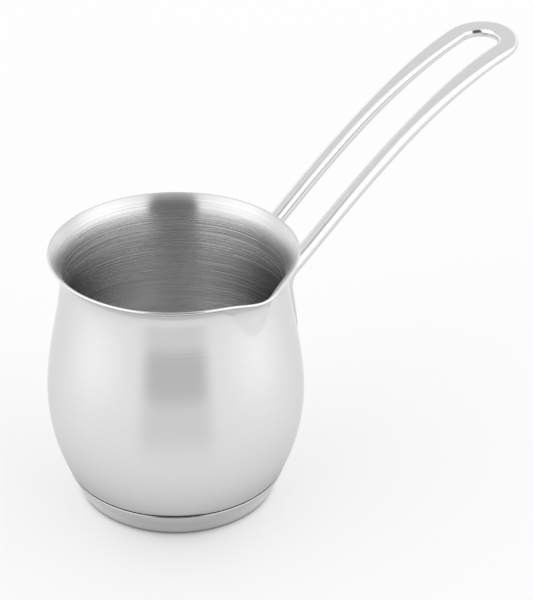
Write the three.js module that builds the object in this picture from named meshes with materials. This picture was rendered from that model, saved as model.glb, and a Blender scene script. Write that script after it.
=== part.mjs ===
// Stainless steel turkish coffee pot with a long loop handle.
// Millimetres, +Z up. The origin is the centre of the base's underside. The handle points along +X and
// the pouring spout along -Y, to the left of someone who holds the handle.
import * as THREE from 'three';

// Vessel
const POT_HEIGHT = 93.5;
const RIM_RADIUS = 43;
const NECK_RADIUS = 39;
const NECK_HEIGHT = 84.6;
const BELLY_RADIUS = 44.8;
const BELLY_HEIGHT = 39.7;
const NECK_TENSION = 12;
const BELLY_TENSION = 16.5;
const LOWER_ARC_RADIUS = 68;
const INSIDE_CORNER_RADIUS = 7.1;
const WALL = 0.9;

// Pouring spout, pressed out of the rim
const SPOUT_DIRECTION = -90;
const SPOUT_PULL = 1.6;
const SPOUT_DROP = 1.9;
const SPOUT_HALF_ANGLE = 13;
const SPOUT_FOOT_ANGLE = 6;
const SPOUT_DEPTH = 19;
const SPOUT_THROAT = 7;

// Heat-spreading base: an aluminium disc in a tapered steel cap that reaches up round the vessel's corner
const CAP_TAPER = 24.5;
const CAP_INSIDE_CORNER_RADIUS = 1.4;
const CAP_WALL = 0.6;
const SEAM_ANGLE = 41.5;
const SEAM_GAP = 0.3;
const DISC_THICKNESS = 6.4;
const DISC_CLEARANCE = 0.3;

// Handle: one rod, round at the pot and flattened at the loop
const ROD_DIAMETER = 5.8;
const LOOP_BAR_WIDTH = 7.8;
const LOOP_BAR_THICKNESS = 3.9;
const FOOT_SPACING = 19.5;
const LOOP_SPACING = 21.4;
const FOOT_TIP_HEIGHT = 46;
const FOOT_TOP_HEIGHT = 64.6;
const FOOT_TIP_SHARE = 0.7;
const FOOT_FLAT_DEPTH = 0.2;
const BEND_RADIUS = 7;
const LEG_START_SLOPE = 28;
const LEG_END_SLOPE = 8.3;
const LEG_START_TENSION = 18;
const LEG_END_TENSION = 46;
const LOOP_CENTRE_REACH = 156.6;
const LOOP_CENTRE_HEIGHT = 120.3;
const FLATTEN_START = 0.5;
const FLATTEN_END = 1;

// Spot welds between the feet and the wall
const WELD_RADIUS = 1.1;
const WELD_THICKNESS = 0.3;
const WELD_GAP = 0.25;
const WELD_INSET = 4;

// Facets
const ROUND_SEGMENTS = 72;
const CORNER_STEPS = 5;
const LOWER_STEPS = 6;
const RISE_STEPS = 9;
const FLARE_STEPS = 5;
const LIP_STEPS = 4;
const ROD_SIDES = 16;
const FOOT_STEPS = 6;
const BEND_STEPS = 7;
const LEG_STEPS = 20;
const LOOP_STEPS = 16;
const WELD_SEGMENTS = 20;

const BOTTOM_HEIGHT = CAP_WALL + DISC_THICKNESS;
const CAP_CORNER_RADIUS = CAP_INSIDE_CORNER_RADIUS + CAP_WALL;
const FOOT_STANDOFF = WELD_THICKNESS + 2 * WELD_GAP;
const RADIANS = Math.PI / 180;
const QUARTER_TURN = Math.PI / 2;

const steel = new THREE.MeshStandardMaterial({ color: 0xc9c9c7, roughness: 0.32, metalness: 1 });
const polishedSteel = new THREE.MeshStandardMaterial({ color: 0xd6d6d5, roughness: 0.08, metalness: 1 });
const aluminium = new THREE.MeshStandardMaterial({ color: 0xb4b5b8, roughness: 0.5, metalness: 1 });
const weldMetal = new THREE.MeshStandardMaterial({ color: 0xa9a6a0, roughness: 0.45, metalness: 1 });

/** Points on a circular arc about (x, y), from one angle to another, in radians. */
function arcPoints(x, y, radius, from, to, steps) {
  const arc = new THREE.ArcCurve(x, y, radius, from, to, to < from);
  return arc.getPoints(steps);
}

/** A vector of a length at an angle in radians from the first axis. */
function ray(length, angle) {
  return new THREE.Vector2(length * Math.cos(angle), length * Math.sin(angle));
}

/** Joins runs of points into one outline, dropping points that repeat. */
function joinRuns(...runs) {
  const apart = 1e-6;
  return runs.flat().filter((point, i, all) => i === 0 || point.distanceTo(all[i - 1]) > apart);
}

/** Turns a closed outline of (radius, height) about the Z axis. */
function turned(outline) {
  const geometry = new THREE.LatheGeometry(outline, ROUND_SEGMENTS);
  geometry.rotateX(QUARTER_TURN);
  return geometry;
}

const lipCentre = new THREE.Vector2(RIM_RADIUS - WALL / 2, POT_HEIGHT - WALL / 2);

/** The flare's outer arc: upright at the neck, and half a wall from the lip's centre. */
function flareArc() {
  const out = lipCentre.x - NECK_RADIUS;
  const up = lipCentre.y - NECK_HEIGHT;
  const radius = (out ** 2 + up ** 2 - (WALL / 2) ** 2) / (2 * out + WALL);
  const lipAngle = Math.PI - Math.asin(up / (radius + WALL / 2));
  return { radius, lipAngle };
}

/** The vessel's round bottom corner, from the flat bottom to where it meets the wide arc below the belly. */
function bottomCorner() {
  const radius = INSIDE_CORNER_RADIUS + WALL;
  const arm = LOWER_ARC_RADIUS - radius;
  const drop = BELLY_HEIGHT - BOTTOM_HEIGHT - radius;
  const reach = BELLY_RADIUS - LOWER_ARC_RADIUS + Math.sqrt(arm ** 2 - drop ** 2);
  const centre = new THREE.Vector2(reach, BOTTOM_HEIGHT + radius);
  return { centre, radius, meet: -Math.asin(drop / arm) };
}

/** One face of the vessel's wall from the flat bottom up to the lip, set in from the outside. */
function vesselSide(inset) {
  const { centre, radius: cornerRadius, meet } = bottomCorner();
  const corner = arcPoints(centre.x, centre.y, cornerRadius - inset, -QUARTER_TURN, meet, CORNER_STEPS);
  const lowerCentre = BELLY_RADIUS - LOWER_ARC_RADIUS;
  const lower = arcPoints(lowerCentre, BELLY_HEIGHT, LOWER_ARC_RADIUS - inset, meet, 0, LOWER_STEPS);

  const rise = new THREE.CubicBezierCurve(
    new THREE.Vector2(BELLY_RADIUS, BELLY_HEIGHT),
    new THREE.Vector2(BELLY_RADIUS, BELLY_HEIGHT + BELLY_TENSION),
    new THREE.Vector2(NECK_RADIUS, NECK_HEIGHT - NECK_TENSION),
    new THREE.Vector2(NECK_RADIUS, NECK_HEIGHT),
  );
  const upper = rise.getPoints(RISE_STEPS).map((point, i) => {
    const along = rise.getTangent(i / RISE_STEPS);
    return point.add(new THREE.Vector2(-along.y, along.x).multiplyScalar(inset));
  });

  const { radius, lipAngle } = flareArc();
  const flare = arcPoints(NECK_RADIUS + radius, NECK_HEIGHT, radius + inset, Math.PI, lipAngle, FLARE_STEPS);
  return joinRuns(corner, lower, upper, flare);
}

const outside = vesselSide(0);

/** The vessel's outer radius at a height. */
function wallRadius(height) {
  const above = outside.findIndex((point, i) => i > 0 && point.y >= height);
  const low = outside[above - 1];
  const high = outside[above];
  return THREE.MathUtils.mapLinear(height, low.y, high.y, low.x, high.x);
}

/** Presses the spout out of a vessel's rim: outwards and down, fading to its sides and to a narrow foot. */
function pressSpout(geometry) {
  const position = geometry.getAttribute('position');
  const point = new THREE.Vector3();
  for (let i = 0; i < position.count; i += 1) {
    point.fromBufferAttribute(position, i);
    const radius = Math.hypot(point.x, point.y);
    const turn = Math.atan2(point.y, point.x) / RADIANS - SPOUT_DIRECTION;
    const aside = THREE.MathUtils.euclideanModulo(turn + 180, 360) - 180;
    const rise = THREE.MathUtils.smoothstep(point.z, POT_HEIGHT - SPOUT_DEPTH, POT_HEIGHT - SPOUT_THROAT);
    const halfAngle = THREE.MathUtils.lerp(SPOUT_FOOT_ANGLE, SPOUT_HALF_ANGLE, rise);
    const press = rise * Math.exp(-((aside / halfAngle) ** 2));
    const grown = radius > 0 ? 1 + SPOUT_PULL * press / radius : 1;
    position.setXYZ(i, point.x * grown, point.y * grown, point.z - SPOUT_DROP * press);
  }
  geometry.computeVertexNormals();
  return geometry;
}

/** The drawn vessel: a flat bottom, belly, neck and flared rim of one even wall, round at the lip. */
function potShell() {
  const { lipAngle } = flareArc();
  const outline = joinRuns(
    [new THREE.Vector2(0, BOTTOM_HEIGHT)],
    outside,
    arcPoints(lipCentre.x, lipCentre.y, WALL / 2, lipAngle - Math.PI, lipAngle, LIP_STEPS),
    vesselSide(WALL).reverse(),
    [new THREE.Vector2(0, BOTTOM_HEIGHT + WALL)],
  );
  return new THREE.Mesh(pressSpout(turned(outline)), steel);
}

/** The centre of the cap's round lip, one seam away from the vessel's corner. */
function capLip() {
  const { centre, radius } = bottomCorner();
  return ray(radius + SEAM_GAP + CAP_WALL / 2, -SEAM_ANGLE * RADIANS).add(centre);
}

/** The radius of the cap's tapered side at a height, set in squarely from its outside. */
function capRadius(inset, height) {
  const lip = capLip();
  const taper = CAP_TAPER * RADIANS;
  return lip.x + (CAP_WALL / 2 - inset + (height - lip.y) * Math.sin(taper)) / Math.cos(taper);
}

/** The steel cap: a shallow tapered cup with a round lower corner and a round lip. */
function baseCap() {
  const lip = capLip();
  const taper = CAP_TAPER * RADIANS;
  const corner = capRadius(CAP_CORNER_RADIUS, CAP_CORNER_RADIUS);
  const outline = joinRuns(
    [new THREE.Vector2(0, 0)],
    arcPoints(corner, CAP_CORNER_RADIUS, CAP_CORNER_RADIUS, -QUARTER_TURN, -taper, CORNER_STEPS),
    arcPoints(lip.x, lip.y, CAP_WALL / 2, -taper, Math.PI - taper, LIP_STEPS),
    arcPoints(corner, CAP_CORNER_RADIUS, CAP_INSIDE_CORNER_RADIUS, -taper, -QUARTER_TURN, CORNER_STEPS),
    [new THREE.Vector2(0, CAP_WALL)],
  );
  return new THREE.Mesh(turned(outline), steel);
}

/** The aluminium disc: fills the bottom of the cap and carries the vessel's flat bottom. */
function heatSpreader() {
  const inset = CAP_WALL + DISC_CLEARANCE;
  const side = capRadius(inset, CAP_CORNER_RADIUS);
  const outline = [
    new THREE.Vector2(0, CAP_WALL),
    new THREE.Vector2(side - CAP_INSIDE_CORNER_RADIUS, CAP_WALL),
    new THREE.Vector2(side, CAP_CORNER_RADIUS),
    new THREE.Vector2(capRadius(inset, BOTTOM_HEIGHT), BOTTOM_HEIGHT),
    new THREE.Vector2(0, BOTTOM_HEIGHT),
  ];
  return new THREE.Mesh(turned(outline), aluminium);
}

/** A foot's centre line at a height, along the wall, as (reach from the pot's axis, height). */
function footPlace(height) {
  const centre = wallRadius(height) + FOOT_STANDOFF + ROD_DIAMETER / 2 - FOOT_FLAT_DEPTH;
  return new THREE.Vector2(Math.sqrt(centre ** 2 - (FOOT_SPACING / 2) ** 2), height);
}

/** How far a foot at a height is turned about the upright, to face the wall squarely. */
function footTurn(height) {
  return Math.atan2(FOOT_SPACING / 2, footPlace(height).x);
}

/** The foot's stations, straight up along the wall from a narrowed tip. */
function footStations() {
  const twist = footTurn(FOOT_TOP_HEIGHT);
  return Array.from({ length: FOOT_STEPS }, (_, i) => {
    const height = THREE.MathUtils.lerp(FOOT_TIP_HEIGHT, FOOT_TOP_HEIGHT, i / FOOT_STEPS);
    const size = i === 0 ? FOOT_TIP_SHARE : 1;
    return { place: footPlace(height), spread: FOOT_SPACING / 2, twist, size, foot: 1, flat: 0 };
  });
}

/** The bend's stations, from along the wall to the leg's slope. */
function bendStations() {
  const top = footPlace(FOOT_TOP_HEIGHT);
  const climb = top.clone().sub(footPlace(FOOT_TOP_HEIGHT - WELD_INSET));
  const startAngle = climb.angle() + QUARTER_TURN;
  const endAngle = LEG_START_SLOPE * RADIANS + QUARTER_TURN;
  const centre = top.clone().sub(ray(BEND_RADIUS, startAngle));
  const bend = arcPoints(centre.x, centre.y, BEND_RADIUS, startAngle, endAngle, BEND_STEPS);
  return bend.map((place, i) => {
    const foot = 1 - THREE.MathUtils.smoothstep(i, 0, BEND_STEPS);
    const twist = footTurn(FOOT_TOP_HEIGHT) * foot;
    return { place, spread: FOOT_SPACING / 2, twist, size: 1, foot, flat: 0 };
  });
}

/** The leg's stations, from the end of the bend to the loop, spreading and flattening on the way. */
function legStations(start) {
  const end = new THREE.Vector2(LOOP_CENTRE_REACH, LOOP_CENTRE_HEIGHT);
  const leg = new THREE.CubicBezierCurve(
    start,
    start.clone().add(ray(LEG_START_TENSION, LEG_START_SLOPE * RADIANS)),
    end.clone().sub(ray(LEG_END_TENSION, LEG_END_SLOPE * RADIANS)),
    end,
  );
  return Array.from({ length: LEG_STEPS }, (_, i) => {
    const share = (i + 1) / LEG_STEPS;
    const spread = THREE.MathUtils.lerp(FOOT_SPACING, LOOP_SPACING, share) / 2;
    const flat = THREE.MathUtils.smoothstep(share, FLATTEN_START, FLATTEN_END);
    return { place: leg.getPointAt(share), spread, twist: 0, size: 1, foot: 0, flat };
  });
}

/** One ring of the rod's skin: a round section, pressed flat towards the loop, with a flat at a foot. */
function rodRing(centre, along, up, { size, foot, flat }) {
  const across = new THREE.Vector3().crossVectors(along, up).normalize();
  const halfThick = size * THREE.MathUtils.lerp(ROD_DIAMETER, LOOP_BAR_THICKNESS, flat) / 2;
  const halfFlat = size * flat * (LOOP_BAR_WIDTH - LOOP_BAR_THICKNESS) / 2;
  const limit = halfThick - FOOT_FLAT_DEPTH * foot;
  const step = 2 * Math.PI / ROD_SIDES;
  return Array.from({ length: ROD_SIDES }, (_, i) => {
    const corner = ray(halfThick / Math.cos(step / 2), (i + 0.5) * step);
    const aside = corner.x + halfFlat * Math.sign(corner.x);
    return centre.clone().addScaledVector(across, aside).addScaledVector(up, Math.min(corner.y, limit));
  });
}

/** The rings of one leg from foot to loop: hand is -1 on the left, towards -Y, and 1 on the right. */
function legRings(stations, hand) {
  const centres = stations.map(({ place, spread }) => new THREE.Vector3(place.x, hand * spread, place.y));
  return stations.map((station, i) => {
    const before = centres[Math.max(i - 1, 0)];
    const after = centres[Math.min(i + 1, centres.length - 1)];
    const along = after.clone().sub(before).normalize();
    const up = new THREE.Vector3(-along.z, 0, along.x).setLength(Math.cos(station.twist));
    up.y = -hand * Math.sin(station.twist);
    return rodRing(centres[i], along, up, station);
  });
}

/** The half circle of flattened bar that joins the legs, from the left leg round to the right leg. */
function loopRings() {
  const slope = LEG_END_SLOPE * RADIANS;
  const forward = new THREE.Vector3(Math.cos(slope), 0, Math.sin(slope));
  const sideways = new THREE.Vector3(0, 1, 0);
  const up = new THREE.Vector3().crossVectors(forward, sideways);
  const centre = new THREE.Vector3(LOOP_CENTRE_REACH, 0, LOOP_CENTRE_HEIGHT);
  return Array.from({ length: LOOP_STEPS - 1 }, (_, i) => {
    const turn = ray(1, Math.PI * (i + 1) / LOOP_STEPS - QUARTER_TURN);
    const out = forward.clone().multiplyScalar(turn.x).addScaledVector(sideways, turn.y);
    const along = forward.clone().multiplyScalar(-turn.y).addScaledVector(sideways, turn.x);
    const middle = centre.clone().addScaledVector(out, LOOP_SPACING / 2);
    return rodRing(middle, along, up, { size: 1, foot: 0, flat: 1 });
  });
}

/** A closed skin over rings of equal count, with a point in the middle of each end. */
function loft(rings) {
  const count = rings[0].length;
  const last = (rings.length - 1) * count;
  const total = (ring) => ring.reduce((sum, point) => sum.add(point), new THREE.Vector3());
  const middle = (ring) => total(ring).divideScalar(count);
  const points = [...rings.flat(), middle(rings[0]), middle(rings.at(-1))];
  const startPoint = points.length - 2;
  const endPoint = points.length - 1;
  const faces = [];
  for (let i = 0; i < count; i += 1) {
    const next = (i + 1) % count;
    for (let base = 0; base < last; base += count) {
      faces.push(base + i, base + count + next, base + next);
      faces.push(base + i, base + count + i, base + count + next);
    }
    faces.push(startPoint, i, next);
    faces.push(endPoint, last + next, last + i);
  }
  const geometry = new THREE.BufferGeometry().setFromPoints(points);
  geometry.setIndex(faces);
  geometry.computeVertexNormals();
  return geometry;
}

/** The handle: up the left leg, round the loop and back down the right leg. */
function handle() {
  const bend = bendStations();
  const stations = [...footStations(), ...bend, ...legStations(bend.at(-1).place)];
  const left = legRings(stations, -1);
  const mirrored = (ring) => ring.map((_, i) => ring.at((ROD_SIDES / 2 - 1 - i) % ROD_SIDES));
  const right = legRings(stations, 1).map(mirrored).reverse();
  return new THREE.Mesh(loft([...left, ...loopRings(), ...right]), polishedSteel);
}

/** A spot weld: a thin round pad between the wall and the flat back of a foot. */
function spotWeld(height, hand) {
  const turn = hand * footTurn(height);
  const widening = wallRadius(height + WELD_RADIUS) - wallRadius(height - WELD_RADIUS);
  const lean = Math.atan2(widening, 2 * WELD_RADIUS);
  const pad = new THREE.CylinderGeometry(WELD_RADIUS, WELD_RADIUS, WELD_THICKNESS, WELD_SEGMENTS);
  pad.rotateZ(-QUARTER_TURN);
  const weld = new THREE.Mesh(pad, weldMetal);
  const middle = ray(wallRadius(height) + FOOT_STANDOFF / 2, turn);
  weld.position.set(middle.x, middle.y, height);
  weld.rotation.set(0, lean, turn, 'ZYX');
  return weld;
}

const coffeePot = new THREE.Group();

function addPiece(name, mesh) {
  mesh.name = name;
  coffeePot.add(mesh);
}

addPiece('pot_shell', potShell());
addPiece('heat_spreader', heatSpreader());
addPiece('base_cap', baseCap());
addPiece('handle', handle());
for (const [sideName, hand] of [['left', -1], ['right', 1]]) {
  addPiece(`spot_weld_${sideName}_lower`, spotWeld(FOOT_TIP_HEIGHT + WELD_INSET, hand));
  addPiece(`spot_weld_${sideName}_upper`, spotWeld(FOOT_TOP_HEIGHT - WELD_INSET, hand));
}

export default coffeePot;
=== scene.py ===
"""Stainless steel turkish coffee pot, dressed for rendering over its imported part.

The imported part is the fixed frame. Each piece is a surface worked out with numpy from the sizes below, in
metres: +Z is up, +X is along the handle and -Y is towards the pouring spout. Every piece has its own finish,
and the stage holds the floor, the light and the camera.
"""

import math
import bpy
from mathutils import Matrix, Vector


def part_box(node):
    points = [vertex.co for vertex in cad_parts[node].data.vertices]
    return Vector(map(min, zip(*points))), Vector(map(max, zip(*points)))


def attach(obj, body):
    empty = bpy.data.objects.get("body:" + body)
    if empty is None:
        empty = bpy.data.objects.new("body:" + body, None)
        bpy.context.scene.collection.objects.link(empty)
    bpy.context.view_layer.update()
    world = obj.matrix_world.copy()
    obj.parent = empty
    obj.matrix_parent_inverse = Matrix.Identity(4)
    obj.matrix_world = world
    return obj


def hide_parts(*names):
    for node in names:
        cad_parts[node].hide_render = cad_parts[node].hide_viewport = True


bl_info = {
    "name": "Turkish Coffee Pot",
    "version": (1, 0, 0),
    "blender": (4, 5, 0),
    "location": "3D View > Sidebar > Coffee Pot",
    "description": "Builds a steel coffee pot with a pressed spout, a heat-spreading base and a loop handle",
    "category": "Object",
}

import bpy
import numpy as np
from bpy.props import FloatProperty, FloatVectorProperty, PointerProperty
from mathutils import Matrix

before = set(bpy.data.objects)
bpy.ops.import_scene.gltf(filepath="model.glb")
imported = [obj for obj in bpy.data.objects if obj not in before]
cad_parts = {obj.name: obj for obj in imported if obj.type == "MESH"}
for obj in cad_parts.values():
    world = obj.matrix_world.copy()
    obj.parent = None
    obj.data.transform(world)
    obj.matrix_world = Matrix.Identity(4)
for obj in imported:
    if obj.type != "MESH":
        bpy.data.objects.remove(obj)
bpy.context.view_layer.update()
SHELL_LOW, SHELL_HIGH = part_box("pot_shell")

IMAGE_HEIGHT = 600
SENSOR_WIDTH = 36.0
CLIP_START = 0.01
MM = 0.001
TINY = 1e-9
TURN = 2 * math.pi
QUARTER = math.pi / 2
UP = np.array((0, 0, 1))

# Sides of the turned pieces, the rod and the stage
POT_SIDES = 360
DISC_SIDES = 240
WELD_SIDES = 40
ROD_SIDES = 96
STAGE_SIDES = 180

# Points along the stretches of the outlines and of the rod
FLAT_POINTS = 24
CORNER_POINTS = 25
LOWER_POINTS = 41
RISE_POINTS = 61
FLARE_POINTS = 25
EDGE_POINTS = 17
CAP_SIDE_POINTS = 8
DISC_FACE_POINTS = 12
DISC_CORNER_POINTS = 4
DISC_SIDE_POINTS = 6
FINE_EDGE_POINTS = 9
WELD_FACE_POINTS = 5
FOOT_POINTS = 49
FOOT_SLOPE_POINTS = 9
BEND_POINTS = 57
LEG_POINTS = 241
LEG_SAMPLES = 2001
LOOP_POINTS = 129


# Sizes and colours


def size(name, description, default):
    """A length in metres."""
    return FloatProperty(
        name=name,
        description=description,
        default=default,
        min=0.0,
        precision=5,
        unit="LENGTH",
        subtype="DISTANCE",
    )


def angle(name, description, degrees):
    """An angle, given in degrees and kept in radians."""
    return FloatProperty(
        name=name, description=description, default=math.radians(degrees), unit="ROTATION", subtype="ANGLE"
    )


def share(name, description, default):
    """A number from 0 to 1."""
    return FloatProperty(
        name=name, description=description, default=default, min=0.0, max=1.0, subtype="FACTOR"
    )


def colour(name, description, default):
    """A linear colour."""
    return FloatVectorProperty(
        name=name, description=description, default=default, min=0.0, max=1.0, size=3, subtype="COLOR"
    )


class VesselSizes(bpy.types.PropertyGroup):
    """The drawn vessel and the spout pressed out of its rim"""

    height: size("Height", "Height of the lip above the table", SHELL_HIGH.z)
    bottom: size("Bottom height", "Height of the flat bottom above the table", SHELL_LOW.z)
    wall: size("Wall", "Thickness of the steel sheet", 0.9 * MM)
    rim_radius: size("Rim radius", "Outer radius of the lip", 43 * MM)
    neck_radius: size("Neck radius", "Outer radius of the neck", 39 * MM)
    neck_height: size("Neck height", "Height of the narrowest part of the neck", 84.6 * MM)
    neck_tension: size("Neck tension", "Length of the wall curve's handle at the neck", 12 * MM)
    belly_radius: size("Belly radius", "Outer radius of the widest part", SHELL_HIGH.x)
    belly_height: size("Belly height", "Height of the widest part", 39.7 * MM)
    belly_tension: size("Belly tension", "Length of the wall curve's handle at the belly", 16.5 * MM)
    lower_arc: size("Lower arc", "Radius of the arc from the belly in to the bottom", 68 * MM)
    corner: size("Bottom corner", "Outer radius of the corner round the flat bottom", 8 * MM)
    spout_direction: angle("Spout direction", "Direction of the spout about the pot's axis", -90)
    spout_half_angle: angle("Spout width", "Angle from the spout's middle at which it has mostly faded", 13)
    spout_pull: size("Spout pull", "How far the spout's lip is pulled out", 1.6 * MM)
    spout_drop: size("Spout drop", "How far the spout's lip is pressed down", 1.9 * MM)
    spout_depth: size("Spout depth", "Depth of the spout's foot below the rim", 17 * MM)
    spout_throat: size("Spout throat", "Depth below the rim down to which the spout is pressed fully", 7 * MM)
    spout_power: share("Spout power", "Power of the full press that the spout's lower edge follows", 0.7)
    spout_crease: share("Spout crease", "Share of the press over which the spout's lower edge is eased", 0.1)
    throat_crease: share("Throat crease", "Share of the press over which it levels off at the throat", 0.6)


class BaseSizes(bpy.types.PropertyGroup):
    """The steel cap under the vessel and the aluminium disc inside it"""

    cap_taper: angle("Cap taper", "Lean of the cap's side from the upright", 24.5)
    cap_corner: size("Cap corner", "Outer radius of the cap's lower corner", 2 * MM)
    cap_wall: size("Cap wall", "Thickness of the cap's sheet", 0.6 * MM)
    seam_angle: angle("Seam angle", "Slope from the vessel's corner centre down to the cap's lip", 41.5)
    seam_gap: size("Seam gap", "Gap between the cap's lip and the vessel", 0.12 * MM)
    disc_clearance: size("Disc clearance", "Gap between the disc and the cap's side", 0.3 * MM)
    disc_edge: size("Disc edge", "Radius on the disc's top edge", 0.3 * MM)


class HandleSizes(bpy.types.PropertyGroup):
    """The handle, one rod that is round at the pot and flattened at the loop"""

    rod: size("Rod", "Diameter of the round rod", 5.8 * MM)
    bar_width: size("Bar width", "Width of the flattened bar at the loop", 7.8 * MM)
    bar_thickness: size("Bar thickness", "Thickness of the flattened bar at the loop", 3.9 * MM)
    foot_spacing: size("Foot spacing", "Distance between the feet, centre to centre", 19.5 * MM)
    loop_spacing: size("Loop spacing", "Distance between the legs at the loop, centre to centre", 21.4 * MM)
    foot_tip: size("Foot tip", "Height of the feet's lower ends", 46 * MM)
    foot_top: size("Foot top", "Height at which the bend begins", 64.6 * MM)
    tip_length: size("Tip length", "Length over which the foot's end is rounded", 3.1 * MM)
    tip_share: share("Tip share", "Size of the foot's end as a share of the rod", 0.7)
    standoff: size("Standoff", "Gap between the wall and the foot's flat", 0.8 * MM)
    flat_depth: size("Flat depth", "Depth of the flat on the side of the foot that faces the wall", 0.2 * MM)
    bend_radius: size("Bend radius", "Radius of the bend from the foot to the leg", 7 * MM)
    start_slope: angle("Start slope", "Slope of the leg where the bend ends", 28)
    end_slope: angle("End slope", "Slope of the leg at the loop", 8.3)
    start_tension: size("Start tension", "Length of the leg curve's handle at the bend", 18 * MM)
    end_tension: size("End tension", "Length of the leg curve's handle at the loop", 46 * MM)
    loop_reach: size("Loop reach", "Distance of the loop's centre from the pot's axis", 156.6 * MM)
    loop_height: size("Loop height", "Height of the loop's centre", 120.3 * MM)
    flatten_start: share("Flatten start", "Share of the leg's length at which it begins to flatten", 0.5)
    flatten_end: share("Flatten end", "Share of the leg's length at which it is flat", 1.0)
    weld_radius: size("Weld radius", "Radius of a spot weld", 1.1 * MM)
    weld_thickness: size("Weld thickness", "Thickness of a spot weld", 0.3 * MM)
    weld_inset: size("Weld inset", "Distance of a weld from the end of the foot's straight", 4 * MM)


class FinishColours(bpy.types.PropertyGroup):
    """The colours of the finishes"""

    satin: colour("Satin steel", "Satin steel of the vessel's outside", (0.75, 0.75, 0.75))
    brushed: colour("Brushed steel", "Brushed steel of the vessel's inside", (0.72, 0.72, 0.72))
    base: colour("Base steel", "Satin steel of the base cap", (0.74, 0.74, 0.74))
    polished: colour("Polished steel", "Mirror-polished steel of the handle", (0.68, 0.68, 0.68))
    disc: colour("Aluminium", "Rolled aluminium of the disc", (0.42, 0.42, 0.43))
    weld: colour("Weld", "Fused steel of the spot welds", (0.42, 0.40, 0.37))
    floor: colour("Floor", "Matt white floor", (0.29, 0.29, 0.29))


class StageSizes(bpy.types.PropertyGroup):
    """The camera, in a plan turned so that it looks along the plan's second axis, and the floor"""

    plan_turn: angle("Plan turn", "Turn of the camera's plan about the pot's axis", 43)
    distance: size("Camera distance", "Distance of the camera from the pot's axis", 774.14 * MM)
    height: size("Camera height", "Height of the camera above the table", 518.33 * MM)
    yaw: angle("Camera yaw", "Turn of the camera to its right", 2.335)
    pitch: angle("Camera pitch", "Slope of the camera's view below level", 29.871)
    roll: angle("Camera roll", "Turn of the camera about its view", -0.21)
    focal_pixels: FloatProperty(
        name="Focal length", description="Focal length in image pixels", default=2600.0
    )
    floor_radius: size("Floor radius", "Radius of the round floor", 6.0)
    floor_glow: share("Floor glow", "Strength of the light that comes up through the floor", 0.65)
    foot_radius: size("Foot radius", "Radius at which the pot's foot meets the floor", 33.4 * MM)
    # The mirrored table's glow is painted light and shade of the floor, seen only in reflections; the sizes
    # below place its pools of lamp light and its shade
    table_end: size("Table end", "Outer radius of the mirrored table", 900 * MM)
    lamp_angle: angle("Lamp angle", "Angle of the two lamps on either side of the camera", 78)
    lamp_spread: angle("Lamp spread", "Angle over which a lamp's light on the table fades", 28)
    shade_angle: angle("Shade angle", "Half the angle of the shade that the camera throws", 27)
    # Painted shade in the mirrored table's glow: a darker patch from this distance out in front of the pot
    far_front_shade_start: size("Card start", "Distance of the grey card's near edge from the pot's axis", 322 * MM)


GROUPS = {
    "coffee_vessel": VesselSizes,
    "coffee_base": BaseSizes,
    "coffee_handle": HandleSizes,
    "coffee_finish": FinishColours,
    "coffee_stage": StageSizes,
}


# Curves and surfaces


def smoothstep(value, low, high):
    """The share s of the way from low to high, held within 0 and 1, eased as 3 s squared less 2 s cubed."""
    s = np.clip((value - low) / (high - low), 0, 1)
    return s * s * (3 - 2 * s)


def eased(value, width):
    """A value above 0 as it is and 0 for one below, with a parabola a width to either side of the corner."""
    width = np.maximum(width, TINY)
    return np.where(np.abs(value) < width, (value + width) ** 2 / (4 * width), np.maximum(value, 0))


def bell(value, spread):
    """A bell curve: e to the power of minus the square of the value over its spread."""
    return np.exp(-((value / spread) ** 2))


def arc(centre, radius, start, end, count):
    """Points on a circle: the centre plus the radius times (cosine, sine) of evenly spaced angles."""
    turn = np.linspace(start, end, count)
    return np.asarray(centre) + radius * np.column_stack((np.cos(turn), np.sin(turn)))


def ray(length, turn):
    """The vector of a length at an angle from the first axis."""
    return length * np.array((math.cos(turn), math.sin(turn)))


def cubic(start, start_arm, end_arm, end, count):
    """Points and unit tangents of a cubic Bezier curve, the binomial mix of its four control points."""
    s = np.linspace(0, 1, count)[:, None]
    rest = 1 - s
    points = rest**3 * start + 3 * s * rest**2 * start_arm + 3 * s**2 * rest * end_arm + s**3 * end
    pull = rest**2 * (start_arm - start) + 2 * s * rest * (end_arm - start_arm) + s**2 * (end - end_arm)
    return points, pull / np.linalg.norm(pull, axis=1, keepdims=True)


def chain(*runs):
    """Joins runs of points that start where the one before ends, each shared point kept once."""
    return np.concatenate([runs[0], *(run[1:] for run in runs[1:])])


def lengths(points):
    """The distance along a line of points from its start to each of them."""
    return np.concatenate(([0], np.cumsum(np.linalg.norm(np.diff(points, axis=0), axis=1))))


def turned(profile, count):
    """Rings of points from an outline of (radius, height) turned about the Z axis."""
    turn = np.arange(count) / count * TURN
    radius = profile[:, :1]
    height = np.broadcast_to(profile[:, 1:], (len(profile), count))
    return np.stack((radius * np.cos(turn), radius * np.sin(turn), height), axis=-1)


def ring_faces(count, around):
    """The faces that join each point to the next one in its ring and in the next ring."""
    here = np.arange(around)
    after = (here + 1) % around
    ring = np.arange(count - 1)[:, None] * around
    beyond = ring + around
    return np.stack((ring + here, ring + after, beyond + after, beyond + here), axis=-1).reshape(-1, 4)


def level_rings(radius, turn, height):
    """Rings of points at a height about the Z axis, and the faces between them, which look up."""
    plan = np.outer(radius, np.cos(turn)), np.outer(radius, np.sin(turn))
    points = np.stack((*plan, np.full_like(plan[0], height)), axis=-1).reshape(-1, 3)
    return points, ring_faces(len(radius), len(turn))[:, ::-1]


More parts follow.
